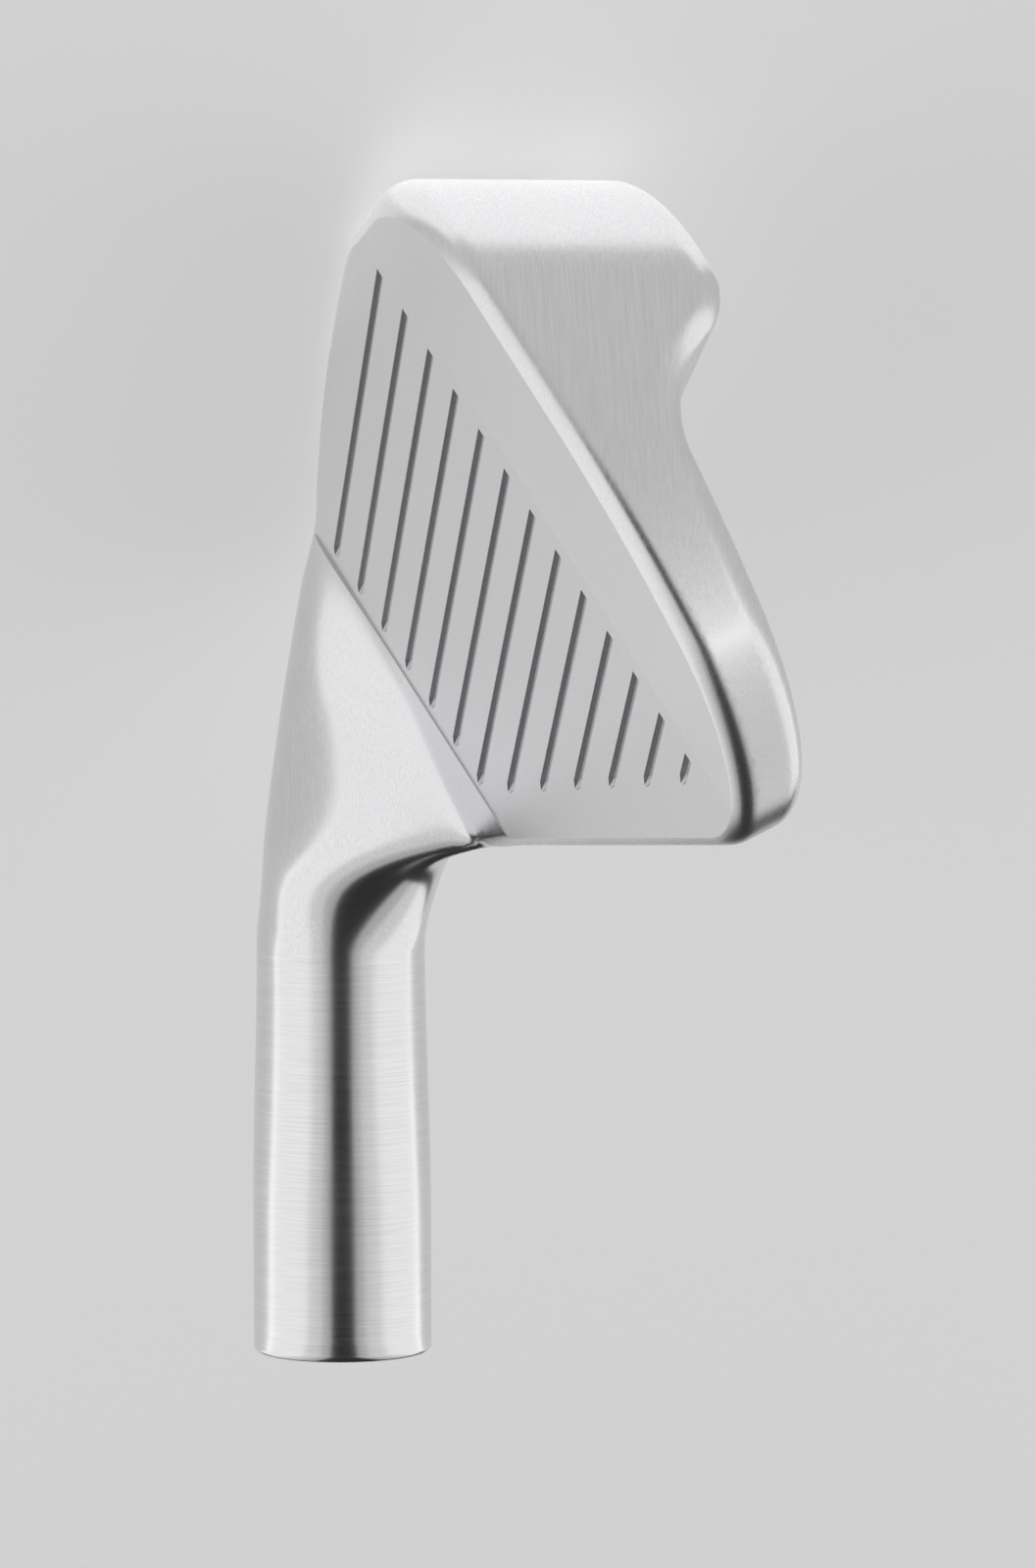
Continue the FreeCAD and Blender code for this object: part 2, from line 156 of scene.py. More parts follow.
# Pilot hole, shaft bore and hosel end, as radii and as distances up the axis from the bore's mouth.
PILOT_RADIUS = 2.6
PILOT_FLOOR = -38.4
PILOT_CORE = 0.001
PILOT_OVERRUN = 2.0
HOSEL_END = 1.0
HOSEL_RIM = 0.45
LEAD_RADIUS = 5.35
LEAD_DEPTH = 0.6
BORE_FLOOR = -26.0
SMALL_CHAMFER = (0.06, 0.03)
BORE_FLOOR_CHAMFER = 0.1
TAPER_STEPS = 24
WALL_STEPS = 8
RIM_STEPS = 8
HOSEL_SEGMENTS = 192
PILOT_SEGMENTS = 48
HOSEL_CREASE = math.radians(25)

# Milled face: the ends of its heel edge, and how far the cutter runs on past the blade.
MILL_LOW = (48.7, -12.0)
MILL_HIGH = (46.6, 60.0)
MILL_TOE_X = -30.0
MILL_REACH = 25.0

# Grooves: their section, with a rounded lip and a floor given as (aside, up) from its corner, the
# length of the point they run out to and where they end at the heel.
GROOVE_COUNT = 13
FULL_GROOVES = 7
GROOVE_PITCH = 3.5
GROOVE_DEPTH = 0.45
GROOVE_HALF_WIDTH = 0.36
GROOVE_LIP = 0.08
LIP_ARC = (math.radians(-105), math.radians(-180))
LIP_STEPS = 3
GROOVE_DRAFT = math.radians(10)
GROOVE_FLOOR = ((0.02, 0.14), (-0.04, 0.04), (-0.14, 0.0))
GROOVE_POINT = 1.5
POINT_SHARE_OUT = 0.4
FULL_GROOVE_X = 47.0
SHORT_GROOVE_X = 41.5
SHORT_GROOVE_STEP = 7.4
ABOVE_FACE = 0.3

# Grid that the forging's skin is drawn from, and the limits of its arithmetic.
VOXEL = 0.5
MARGIN = 4 * VOXEL
BAND = 3 * VOXEL
REFINEMENTS = 3
FLATTEST_SLOPE = 0.1
SLOPE_STEP = 0.02
NEARLY_NOTHING = 1e-9
NEARLY_ONE = 0.999

# What tells the forged skin, the milled face and the grooves apart.
BELOW_SKIN = 0.07
ON_FACE = 0.003
FACE_ALIGNED = 0.99
SKIN_ALIGNED = 0.5

# Steels: base colours as their two ends, and the roughness of the cut grooves. The grooves' greys are
# darker than the milled face's as painted shade in their recesses.
SATIN_GREYS = ((0.66, 0.661, 0.672), (0.76, 0.761, 0.772))
MILLED_GREYS = ((0.72, 0.721, 0.731), (0.62, 0.621, 0.633))
GROOVE_PAINTED_SHADE_GREYS = ((0.44, 0.445, 0.455), (0.54, 0.545, 0.555))
GROOVE_ROUGHNESS = 0.45
BLASTED_COLOUR = 0.6

# The blasting stops just beyond the toe ends of the grooves, over an edge this wide in metres. The
# satin grows duller towards the toe between two places along x, in metres.
BLASTED_FROM_X = -1.8
BLASTED_EDGE = 0.00005
DULL_FROM = -0.02
DULL_UNTIL = -0.08
DULLER_TOE = 0.08

# Roughness: its range over the broad patches, and what lines, blasting and grain add to it. The
# milled range is spread over the part of its two added noises that MILLED_NOISE gives.
SATIN_ROUGHNESS = (0.18, 0.23)
LINE_ROUGHNESS = 0.025
MILLED_ROUGHNESS = (0.3, 0.36)
MILLED_NOISE = (0.8, 1.2)
ROUGHER_BLASTED = 0.1
INNER_UNEVEN = 0.05

# Noises, as grains to the metre along each axis, and how deep their bumps are in metres.
BLADE_BRUSHING = (8000, 8000, 220)
BLADE_BRUSHING_DEPTH = 0.0000014
HOSEL_BRUSHING = (200, 200, 8000)
HOSEL_BRUSHING_DEPTH = 0.0000005
SATIN_PATCHES = (90, 90, 90)
BLASTING_GRAINS = (7000, 7000, 7000)
BLASTING_DEPTH = 0.000006
MILLING_LINES = (400, 9000, 400)
MILLED_PATCHES = (70, 70, 70)
MILLED_RELIEF = 0.15
INNER_GRAINS = (2500, 2500, 2500)
INNER_GRAIN_DEPTH = 0.000004

# Inner pieces: their base colours, how metallic they are and their roughness.
INNER_LOOKS = {
    "swing_weight_pin": (((0.34, 0.34, 0.35), (0.48, 0.48, 0.49)), 1.0, 0.45),
    "weight_retaining_plug": (((0.03, 0.03, 0.032), (0.05, 0.05, 0.052)), 0.0, 0.55),
}

# The studio, in metres: a pale table under a tent of panels with a dark slot between its two sides.
# Each side has the same strips from the ridge down, as where each ends and how bright it is.
CEILING = 0.03
FLOOR_SHADE = 0.55
FLOOR_GLOW = 0.38
FLOOR_ROUGHNESS = 0.9
FLOOR_HALF_SIZE = 20.0
TENT_SIDES = (("left_panel", -1), ("right_panel", 1))
TENT_STRIPS = ((0.25, 0.5), (0.5, 0.75), (1.0, 1.05))
SLOT_WIDTH = 0.5
TENT_HEIGHT = 0.6
TENT_HALF_WIDTH = 0.62
TENT_LENGTH = 1.9
TENT_SHIFT = -0.1

# A lit table under the toe, in strips that fade towards the heel, and a panel in front of the face.
TABLE_STRIPS = ((-0.009, 0.011, 0.5), (0.011, 0.024, 0.3), (0.024, 0.04, 0.12))
TABLE_Y = 0.009
TABLE_WIDTH = 0.046
TABLE_HEIGHT = 0.0002
FRONT_PLACE = (-1.1, 0.3, 0.12)
FRONT_SIZE = (0.6, 0.4)
FRONT_BRIGHTNESS = 0.6

# Camera: low down off the toe, turned almost upside down about its line of sight.
VIEW_AZIMUTH = math.radians(6.006)
VIEW_DOWN = math.radians(23.297)
VIEW_ROLL = math.radians(176.857)
VIEW_DISTANCE = 0.70514
VIEW_TARGET = Vector((-0.0409656, 0.0113227, -0.0277982))
LENS = 220.76
SENSOR_WIDTH = 36
NEAREST_SEEN = 0.01


class Field:
    """A signed distance, positive outside, with its unit slope."""

    def __init__(self, value, slope):
        self.value = value
        self.slope = slope

    def flipped(self):
        return Field(-self.value, -self.slope)


def plane(points, start, direction_x, direction_y, normal):
    """Distance past the line through start in the plane of two directions, with a 2-D normal."""
    length = math.hypot(*normal)
    slope = (direction_x * normal[0] + direction_y * normal[1]) / length
    value = points @ slope - (start[0] * normal[0] + start[1] * normal[1]) / length
    return Field(value, np.broadcast_to(slope, points.shape))


def meet(first, second, radius):
    """What lies within both, with the corner between them rounded to a radius."""
    cosine = np.clip(np.sum(first.slope * second.slope, axis=-1), -NEARLY_ONE, NEARLY_ONE)
    over_first = first.value + radius
    over_second = second.value + radius
    spread = 1 - cosine ** 2
    along_first = (over_first - over_second * cosine) / spread
    along_second = (over_second - over_first * cosine) / spread
    corner = (along_first > 0) & (along_second > 0)
    reach = along_first[..., None] * first.slope + along_second[..., None] * second.slope
    distance = np.maximum(np.linalg.norm(reach, axis=-1), NEARLY_NOTHING)
    nearer = first.value > second.value
    value = np.where(nearer, first.value, second.value)
    slope = np.where(nearer[..., None], first.slope, second.slope)
    value = np.where(corner, distance - radius, value)
    slope = np.where(corner[..., None], reach / distance[..., None], slope)
    return Field(value, slope)


def join(first, second, radius):
    """What lies within either, with the valley between them filled to a radius."""
    return meet(first.flipped(), second.flipped(), radius).flipped()


def smooth_step(low, high, value):
    """A share that eases from 0 at the low end to 1 at the high end."""
    share = np.clip((value - low) / (high - low), 0, 1)
    return share * share * (3 - 2 * share)


def across_face(points):
    """Height up the lofted face and depth behind it."""
    return points @ UP_FACE, -(points @ OUT_OF_FACE)


def back_planes(points):
    """The back's planes at each point, drawn between its toe and heel profiles."""
    share = (points[..., 0] - BACK_TOE["x"]) / (BACK_HEEL["x"] - BACK_TOE["x"])
    height, depth = across_face(points)

    def blended(name):
        return [low + (high - low) * share for low, high in zip(
            np.atleast_1d(BACK_TOE[name]), np.atleast_1d(BACK_HEEL[name]))]

    (top,), (waist_in, waist_up) = blended("top"), blended("waist")
    (shelf_in, shelf_up), (foot,) = blended("shelf"), blended("foot")
    lines = [
        (top, BACK_TOP, waist_in, waist_up),
        (waist_in, waist_up, shelf_in, shelf_up),
        (shelf_in, shelf_up, foot, BACK_FOOT),
    ]
    planes = []
    for start_in, start_up, end_in, end_up in lines:
        run_in, run_up = end_in - start_in, end_up - start_up
        length = np.hypot(run_in, run_up)
        out_in, out_up = -run_up / length, run_in / length
        value = (depth - start_in) * out_in + (height - start_up) * out_up
        slope = out_up[..., None] * UP_FACE - out_in[..., None] * OUT_OF_FACE
        planes.append(Field(value, slope))
    return planes


def sole_surface(points):
    """A camber circle turned about the high rocker axis."""
    out_x = points[..., 0] - ROCKER_X
    out_z = points[..., 2] - (GROUND_Z + ROCKER_RADIUS)
    swing = np.hypot(out_x, out_z)
    drop = swing - (ROCKER_RADIUS - CAMBER_RADIUS)
    out_y = points[..., 1] - CAMBER_Y
    reach = np.hypot(drop, out_y)
    slope = np.stack([drop * out_x / swing, out_y, drop * out_z / swing], -1) / reach[..., None]
    return Field(reach - CAMBER_RADIUS, slope)


def face_stock(points):
    """The forged face: a thin layer over the milled plane, swelling towards the heel."""
    depth = across_face(points)[1]
    past_swell = np.maximum(points[..., 0] - HEEL_SWELL_X, 0)
    swell = past_swell ** 2 / (2 * HEEL_SWELL_RADIUS)
    tilt = past_swell / HEEL_SWELL_RADIUS
    slope = np.broadcast_to(OUT_OF_FACE, points.shape) - tilt[..., None] * np.array([1.0, 0, 0])
    length = np.sqrt(1 + tilt ** 2)
    return Field((-depth - FACE_STOCK - swell) / length, slope / length[..., None])


def left_normal(start, end):
    """The left-hand normal of the line from start to end."""
    return (start[1] - end[1], end[0] - start[0])


def blade_field(points):
    """The forged blade with its rounded edges, running on past the heel."""
    along = np.array([1.0, 0.0, 0.0])
    upper, ramp, lower = back_planes(points)
    back = join(upper, meet(ramp, lower, SHELF_RADIUS), WAIST_RADIUS)

    tilted = np.array([0.0, -math.sin(CORNER_TILT), math.cos(CORNER_TILT)])
    flank = plane(points, CORNER_START, along, tilted, left_normal(CORNER_END, CORNER_START))
    bottom = meet(sole_surface(points), flank, CORNER_TO_SOLE_RADIUS)
    toe = plane(points, TOE_BEND, along, UP_FACE, (-1, 0))
    lean = plane(points, TOE_BEND, along, UP_FACE, left_normal(TOE_BEND, TOE_PEAK))
    topline = plane(points, TOE_PEAK, along, UP_FACE, left_normal(TOE_PEAK, TOPLINE_END))
    outline = meet(meet(toe, lean, TOE_BEND_RADIUS), topline, TOE_PEAK_RADIUS)
    walls = meet(outline, bottom, CORNER_RADIUS)

    height = across_face(points)[0]
    low_part = 1 - smooth_step(*LOW_EDGE, height)
    edge_radius = BACK_RIM_RADIUS + (TRAILING_RADIUS - BACK_RIM_RADIUS) * low_part
    body = meet(back, walls, edge_radius)
    near_toe = 1 - smooth_step(*SOFT_RIM_X, points[..., 0])
    near_corner = near_toe * (1 - smooth_step(*SOFT_RIM_UP, height))
    rim_radius = RIM_RADIUS + (CORNER_RIM_RADIUS - RIM_RADIUS) * near_corner
    return meet(body, face_stock(points), rim_radius).value


def through_rows(rows, at):
    """Smooth curves, level at the first row, through a table whose first column places its rows."""
    knots, values = rows[:, 0], rows[:, 1:]
    gaps, rises = np.diff(knots), np.diff(values, axis=0)
    count = len(knots)
    system, pull = np.eye(count), np.zeros_like(values)
    system[0, :2] = 2 * gaps[0], gaps[0]
    pull[0] = 6 * rises[0] / gaps[0]
    for row in range(1, count - 1):
        system[row, row - 1:row + 2] = gaps[row - 1], 2 * (gaps[row - 1] + gaps[row]), gaps[row]
        pull[row] = 6 * (rises[row] / gaps[row] - rises[row - 1] / gaps[row - 1])
    bend = np.linalg.solve(system, pull)
    at = np.clip(at, knots[0], knots[-1])
    span = np.clip(np.searchsorted(knots, at) - 1, 0, count - 2)
    gap = gaps[span][..., None]
    ahead, behind = (knots[span + 1] - at)[..., None], (at - knots[span])[..., None]
    curve = bend[span] * ahead ** 3 + bend[span + 1] * behind ** 3
    curve = curve / (6 * gap)
    curve += (values[span] / gap - bend[span] * gap / 6) * ahead
    curve += (values[span + 1] / gap - bend[span + 1] * gap / 6) * behind
    return np.moveaxis(curve, -1, 0)


def neck_centre():
    """The x and z of the crotch's centre."""
    x = WELD * AXIS.x - HOSEL_REACH * AXIS.z - ORIGIN.x
    z = WELD * AXIS.z + HOSEL_REACH * AXIS.x - ORIGIN.z
    return x, z


def neck_turn(points):
    """The turn of each point about the crotch, in degrees down from the heel side."""
    centre_x, centre_z = neck_centre()
    turn = np.degrees(np.arctan2(centre_z - points[..., 2], points[..., 0] - centre_x))
    return np.where(turn < WELD_TURN - 180, turn + 360, turn)


def neck_field(points):
    """The neck: leaning ovals fanned about the crotch, straight on past the weld."""
    centre_x, centre_z = neck_centre()
    turn = neck_turn(points)
    out_x, out_z = points[..., 0] - centre_x, points[..., 2] - centre_z
    straight = out_x * AXIS.z - out_z * AXIS.x
    reach = np.where(turn < WELD_TURN, straight, np.hypot(out_x, out_z))
    near, far, front_near, back_near, front_far, back_far, fullness = through_rows(NECK_OVALS, turn)
    width = far - near
    along = np.clip((reach - near) / width, -PAST_OVAL, 1 + PAST_OVAL)
    front = front_near + (front_far - front_near) * along
    back = back_near + (back_far - back_near) * along
    thickness = back - front
    across = 2 * (points[..., 1] - front) / thickness - 1
    outward = 2 * (reach - near) / width - 1
    power = 2 / fullness
    size = (np.abs(outward) ** power + np.abs(across) ** power) ** (1 / power)
    size = np.maximum(size, OVAL_CORE)
    lean = -2 * (front_far - front_near) / width / thickness
    lean = lean - (across + 1) * (back_far - back_near - front_far + front_near) / width / thickness
    pull_out = np.sign(outward) * np.abs(outward / size) ** (power - 1)
    pull_across = np.sign(across) * np.abs(across / size) ** (power - 1)
    steep = np.hypot(pull_out * 2 / width + pull_across * lean, pull_across * 2 / thickness)
    return (size - 1) / np.maximum(steep, LEAST_STEEPNESS)


def forging_field(points):
    """The whole forging: the blade, handed over to the neck about the crotch."""
    share = smooth_step(NECK_ENDS, BLADE_STARTS, neck_turn(points))
    return share * blade_field(points) + (1 - share) * neck_field(points)


def slope_of(field, points):
    """The slope of a field by central differences."""
    slopes = []
    for direction in np.eye(3):
        ahead = field(points + direction * SLOPE_STEP)
        behind = field(points - direction * SLOPE_STEP)
        slopes.append((ahead - behind) / (2 * SLOPE_STEP))
    return np.stack(slopes, -1)


def to_part(points):
    """From millimetres in the blade's frame to metres in the part's frame."""
    return (points + np.array(ORIGIN)) * MM


def to_blade(points):
    """From metres in the part's frame to millimetres in the blade's frame."""
    return points / MM - np.array(ORIGIN)


def face_point(x, height, depth):
    """A point of the part's frame from its place on the face and its depth behind it."""
    return to_part(np.array([x, 0.0, 0.0]) + height * UP_FACE - depth * OUT_OF_FACE)


def axis_point(distance):
    """A point of the part's frame on the hosel axis, this far up from the mouth of the bore."""
    return AXIS * (distance * MM)


def vertices_of(mesh):
    """The place of every vertex, one to a row."""
    flat = np.empty(len(mesh.vertices) * 3)
    mesh.vertices.foreach_get("co", flat)
    return flat.reshape(-1, 3)


def new_piece(name, mesh):
    piece = bpy.data.objects.new(name, mesh)
    bpy.context.scene.collection.objects.link(piece)
    return piece


def skin_of_forging():
    """A closed mesh on the forging's surface, a little longer than the neck."""
    low, high = (to_blade(np.array(corner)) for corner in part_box("blade_forging"))
    low, high = low - MARGIN, high + MARGIN
    counts = np.ceil((high - low) / VOXEL).astype(int)
    lines = [low[i] + VOXEL * np.arange(counts[i]) for i in range(3)]
    values = np.empty(counts, np.float32)
    for number, x in enumerate(lines[0]):
        sheet = np.stack(np.meshgrid([x], lines[1], lines[2], indexing="ij"), -1)
        values[number] = forging_field(sheet[0])
    grid = openvdb.FloatGrid(BAND)
    grid.copyFromArray(np.clip(values, -BAND, BAND))
    points, quads = grid.convertToQuads(isovalue=0.0)
    points = low + points.astype(float) * VOXEL
    for _ in range(REFINEMENTS):
        slope = slope_of(forging_field, points)
        steepness = np.maximum(np.sum(slope * slope, axis=-1), FLATTEST_SLOPE)
        step = np.clip(forging_field(points) / steepness, -VOXEL / 2, VOXEL / 2)
        points = points - step[:, None] * slope
    mesh = bpy.data.meshes.new("forging")
    mesh.from_pydata(to_part(points), [], quads[:, ::-1].tolist())
    return mesh


def cut_at_weld(mesh):
    """Cuts the skin off square at the weld and closes it there."""
    work = bmesh.new()
    work.from_mesh(mesh)
    everything = work.verts[:] + work.edges[:] + work.faces[:]
    result = bmesh.ops.bisect_plane(
        work, geom=everything, plane_co=axis_point(WELD), plane_no=AXIS, clear_outer=True)
    rim = [item for item in result["geom_cut"] if isinstance(item, bmesh.types.BMEdge)]
    bmesh.ops.edgeloop_fill(work, edges=rim)
    bmesh.ops.recalc_face_normals(work, faces=work.faces)
    work.to_mesh(mesh)
    work.free()


def ring_of(work, outline, place):
    """A vertex for each point of an outline, put where a function says."""
    return [work.verts.new(place(point)) for point in outline]


def pairs_round(ring):
    """Each member of a closed ring with the one after it."""
    return zip(ring, ring[1:] + ring[:1])


def wall(work, first, second):
    """Quads between two rings."""
    for (near, near_ahead), (far, far_ahead) in zip(pairs_round(first), pairs_round(second)):
        work.faces.new([near, far, far_ahead, near_ahead])


def finished_mesh(work, name):
    bmesh.ops.recalc_face_normals(work, faces=work.faces)
    mesh = bpy.data.meshes.new(name)
    work.to_mesh(mesh)
    work.free()
    return mesh


def milling_cutter():
    """Everything in front of the milled face, as far as its heel edge."""
    work = bmesh.new()
    outline = [(MILL_TOE_X, MILL_LOW[1]), MILL_LOW, MILL_HIGH, (MILL_TOE_X, MILL_HIGH[1])]
    back = ring_of(work, outline, lambda p: face_point(*p, 0.0))
    front = ring_of(work, outline, lambda p: face_point(*p, -MILL_REACH))
    work.faces.new(back)
    work.faces.new(front[::-1])
    wall(work, back, front)
    return finished_mesh(work, "milling_cutter")


def groove_section():
    """Half of a groove's section as (aside, depth), from above the face to the floor."""
    lip_centre = GROOVE_HALF_WIDTH + GROOVE_LIP
    points = [(lip_centre, -ABOVE_FACE)]
    for step in range(LIP_STEPS + 1):
        angle = LIP_ARC[0] + (LIP_ARC[1] - LIP_ARC[0]) * step / LIP_STEPS
        aside = lip_centre + GROOVE_LIP * math.cos(angle)
        points.append((aside, GROOVE_LIP * (1 + math.sin(angle))))
    narrow = GROOVE_HALF_WIDTH - (GROOVE_DEPTH - GROOVE_LIP) * math.tan(GROOVE_DRAFT)
    points += [(narrow + aside, GROOVE_DEPTH - up) for aside, up in GROOVE_FLOOR]
    return points


def groove_cutter():
    """Straight grooves, square at the toe and running out to a point at the heel."""
    half = groove_section()
    section = half + [(-aside, depth) for aside, depth in reversed(half)]
    work = bmesh.new()
    for number in range(GROOVE_COUNT):
        height = number * GROOVE_PITCH
        short = number - FULL_GROOVES
        heel = FULL_GROOVE_X if short < 0 else SHORT_GROOVE_X - short * SHORT_GROOVE_STEP
        narrows = heel - (1 - POINT_SHARE_OUT) * GROOVE_POINT
        toe_end = ring_of(work, section, lambda p: face_point(0.0, height + p[0], p[1]))
        heel_end = ring_of(work, section, lambda p: face_point(narrows, height + p[0], p[1]))
        tip = work.verts.new(face_point(heel + POINT_SHARE_OUT * GROOVE_POINT, height, -ABOVE_FACE))
        work.faces.new(toe_end)
        wall(work, toe_end, heel_end)
        for corner, ahead in pairs_round(heel_end):
            work.faces.new([corner, ahead, tip])
    return finished_mesh(work, "groove_cutter")


def carve(mesh, cutters):
    """The mesh with each cutter taken out of it."""
    body = new_piece("carving", mesh)
    tools = [new_piece(cutter.name, cutter) for cutter in cutters]
    for tool in tools:
        cut = body.modifiers.new(tool.name, "BOOLEAN")
        cut.operation = "DIFFERENCE"
        cut.solver = "MANIFOLD"
        cut.object = tool
    shown = body.evaluated_get(bpy.context.evaluated_depsgraph_get())
    result = bpy.data.meshes.new_from_object(shown)
    for piece in [body] + tools:
        bpy.data.objects.remove(piece)
    return result


def turned_mesh(name, profile, segments):
    """A closed mesh turned about the hosel axis from (radius, distance up the axis) points."""
    aside = AXIS.orthogonal().normalized()
    other = AXIS.cross(aside)
    work = bmesh.new()
    rings = []
    for radius, distance in profile:
        ring = []
        for step in range(segments):
            angle = math.tau * step / segments
            spoke = aside * math.cos(angle) + other * math.sin(angle)
            ring.append(work.verts.new(axis_point(distance) + spoke * (radius * MM)))
        rings.append(ring)
    for ring, after in pairs_round(rings):
        for (near, near_ahead), (far, far_ahead) in zip(pairs_round(ring), pairs_round(after)):
            work.faces.new([near, near_ahead, far_ahead, far])
    return finished_mesh(work, name)


def hosel_profile():
    """The hosel tube's wall, once around, as radius and distance up the axis."""
    profile = []
    for step in range(TAPER_STEPS):
        share = step / TAPER_STEPS
        swell = (HOSEL_RADIUS - WAIST_OF_HOSEL) * smooth_step(0, 1, share)
        profile.append((WAIST_OF_HOSEL + swell, WELD + (PARALLEL_START - WELD) * share))
    straight_top = HOSEL_END - HOSEL_RIM
    for step in range(WALL_STEPS):
        rise = (straight_top - PARALLEL_START) * step / WALL_STEPS
        profile.append((HOSEL_RADIUS, PARALLEL_START + rise))
    for step in range(RIM_STEPS + 1):
        angle = math.pi / 2 * step / RIM_STEPS
        inset = HOSEL_RIM * (1 - math.cos(angle))
        profile.append((HOSEL_RADIUS - inset, straight_top + HOSEL_RIM * math.sin(angle)))
    profile.append((LEAD_RADIUS + SMALL_CHAMFER[0], HOSEL_END))
    profile.append((LEAD_RADIUS, HOSEL_END - SMALL_CHAMFER[1]))
    bore_top = HOSEL_END - LEAD_DEPTH
    for step in range(WALL_STEPS):
        profile.append((BORE_RADIUS, bore_top + (BORE_FLOOR - bore_top) * step / WALL_STEPS))
    profile.append((BORE_RADIUS, BORE_FLOOR + BORE_FLOOR_CHAMFER))
    profile.append((BORE_RADIUS - BORE_FLOOR_CHAMFER, BORE_FLOOR))
    profile += [(PILOT_RADIUS, BORE_FLOOR), (PILOT_RADIUS, WELD)]
    return profile


def polygon_vectors(mesh, name):
    """The centre or normal of every polygon, one to a row."""
    flat = np.empty(len(mesh.polygons) * 3)
    mesh.polygons.foreach_get(name, flat)
    return flat.reshape(-1, 3)


def set_normals(mesh, on_forging):
    """Smooth normals from the field on the forged skin, and flat ones everywhere else."""
    corners = np.empty(len(mesh.loops), int)
    mesh.loops.foreach_get("vertex_index", corners)
    totals = np.empty(len(mesh.polygons), int)
    mesh.polygons.foreach_get("loop_total", totals)
    normals = np.repeat(polygon_vectors(mesh, "normal"), totals, axis=0)
    smooth = slope_of(forging_field, to_blade(vertices_of(mesh)))
    smooth /= np.maximum(np.linalg.norm(smooth, axis=1, keepdims=True), NEARLY_NOTHING)
    forged = np.repeat(on_forging, totals)
    normals[forged] = smooth[corners[forged]]
    mesh.polygons.foreach_set("use_smooth", np.ones(len(mesh.polygons), bool))
    mesh.normals_split_custom_set(normals.tolist())


def sort_faces(mesh):
    """Which polygons lie on the forged skin and which in the grooves; the rest are milled."""
    centres = to_blade(polygon_vectors(mesh, "center"))
    normals = polygon_vectors(mesh, "normal")
    depth = across_face(centres)[1]
    with_skin = np.sum(normals * slope_of(forging_field, centres), axis=-1) > SKIN_ALIGNED
    off_skin = forging_field(centres) < -BELOW_SKIN
    on_plane = (np.abs(depth) < ON_FACE) & (normals @ OUT_OF_FACE > FACE_ALIGNED)
    forged = ~off_skin & ~on_plane & with_skin
    grooved = ~forged & (depth > ON_FACE)
    return forged, grooved


def add_camera():
    forward = Vector((
        math.cos(VIEW_DOWN) * math.cos(VIEW_AZIMUTH),
        math.cos(VIEW_DOWN) * math.sin(VIEW_AZIMUTH),
        -math.sin(VIEW_DOWN),
    ))
    level = forward.cross(Vector((0, 0, 1))).normalized()
    right = Matrix.Rotation(-VIEW_ROLL, 3, forward) @ level
    up = right.cross(forward)
    data = bpy.data.cameras.new("camera")
    data.lens = LENS
    data.sensor_width = SENSOR_WIDTH
    data.clip_start = NEAREST_SEEN
    camera = bpy.data.objects.new("camera", data)
    bpy.context.scene.collection.objects.link(camera)
    axes = Matrix((right, up, -forward)).transposed()
    camera.matrix_world = Matrix.Translation(VIEW_TARGET - forward * VIEW_DISTANCE) @ axes.to_4x4()
    bpy.context.scene.camera = camera


def add_panel(name, middle, across, up, width, height, brightness):
    """A soft panel with this radiance, lit on the side that up and across turn away from."""
    data = bpy.data.lights.new(name, "AREA")
    data.shape = "RECTANGLE"
    data.size, data.size_y = width, height
    data.energy = brightness * math.pi * width * height
    light = bpy.data.objects.new(name, data)
    bpy.context.scene.collection.objects.link(light)
    axes = Matrix((across, up, across.cross(up))).transposed()
    light.matrix_world = Matrix.Translation(middle) @ axes.to_4x4()
    light.visible_camera = False


def add_lights(ground):
    """A tent of soft panels with a slot along its ridge in line with the camera, and a lit table."""
    ahead = Vector((math.cos(VIEW_AZIMUTH), math.sin(VIEW_AZIMUTH), 0))
    for name, side in TENT_SIDES:
        aside = Vector((-ahead.y, ahead.x, 0)) * side
        ridge = VIEW_TARGET + aside * (SLOT_WIDTH / 2) + Vector((0, 0, TENT_HEIGHT))
        foot = VIEW_TARGET + aside * TENT_HALF_WIDTH + Vector((0, 0, ground - VIEW_TARGET.z))
        slope = foot - ridge
        start = 0.0
        for number, (end, brightness) in enumerate(TENT_STRIPS):
            middle = ridge + slope * ((start + end) / 2) + ahead * TENT_SHIFT
            add_panel(f"{name}_{number}", middle, ahead * -side, -slope.normalized(),
                      TENT_LENGTH, slope.length * (end - start), brightness)
            start = end
    add_panel("front_panel", Vector(FRONT_PLACE), Vector((0, -1, 0)), Vector((0, 0, 1)),
              *FRONT_SIZE, FRONT_BRIGHTNESS)
    for number, (start, end, brightness) in enumerate(TABLE_STRIPS):
        middle = Vector((LOW.x + (start + end) / 2, TABLE_Y, ground + TABLE_HEIGHT))
        add_panel(f"lit_table_{number}", middle, Vector((-1, 0, 0)), Vector((0, 1, 0)),
                  end - start, TABLE_WIDTH, brightness)


def add_floor(ground):
    material = bpy.data.materials.new("floor")
    material.use_nodes = True
    shader = material.node_tree.nodes["Principled BSDF"]
    shader.inputs["Base Color"].default_value = (*[FLOOR_SHADE] * 3, 1)
    shader.inputs["Roughness"].default_value = FLOOR_ROUGHNESS
    shader.inputs["Emission Color"].default_value = (1, 1, 1, 1)
    shader.inputs["Emission Strength"].default_value = FLOOR_GLOW
    mesh = bpy.data.meshes.new("floor")
    corners = [(-1, -1), (1, -1), (1, 1), (-1, 1)]
    places = [(x * FLOOR_HALF_SIZE, y * FLOOR_HALF_SIZE, ground) for x, y in corners]
    mesh.from_pydata(places, [], [(0, 1, 2, 3)])
    mesh.materials.append(material)
    floor = new_piece("floor", mesh)


def add_world():
    world = bpy.data.worlds.new("studio")
    bpy.context.scene.world = world
    world.use_nodes = True
    world.node_tree.nodes["Background"].inputs["Color"].default_value = (*[CEILING] * 3, 1)
    bpy.context.scene.view_settings.view_transform = "Standard"


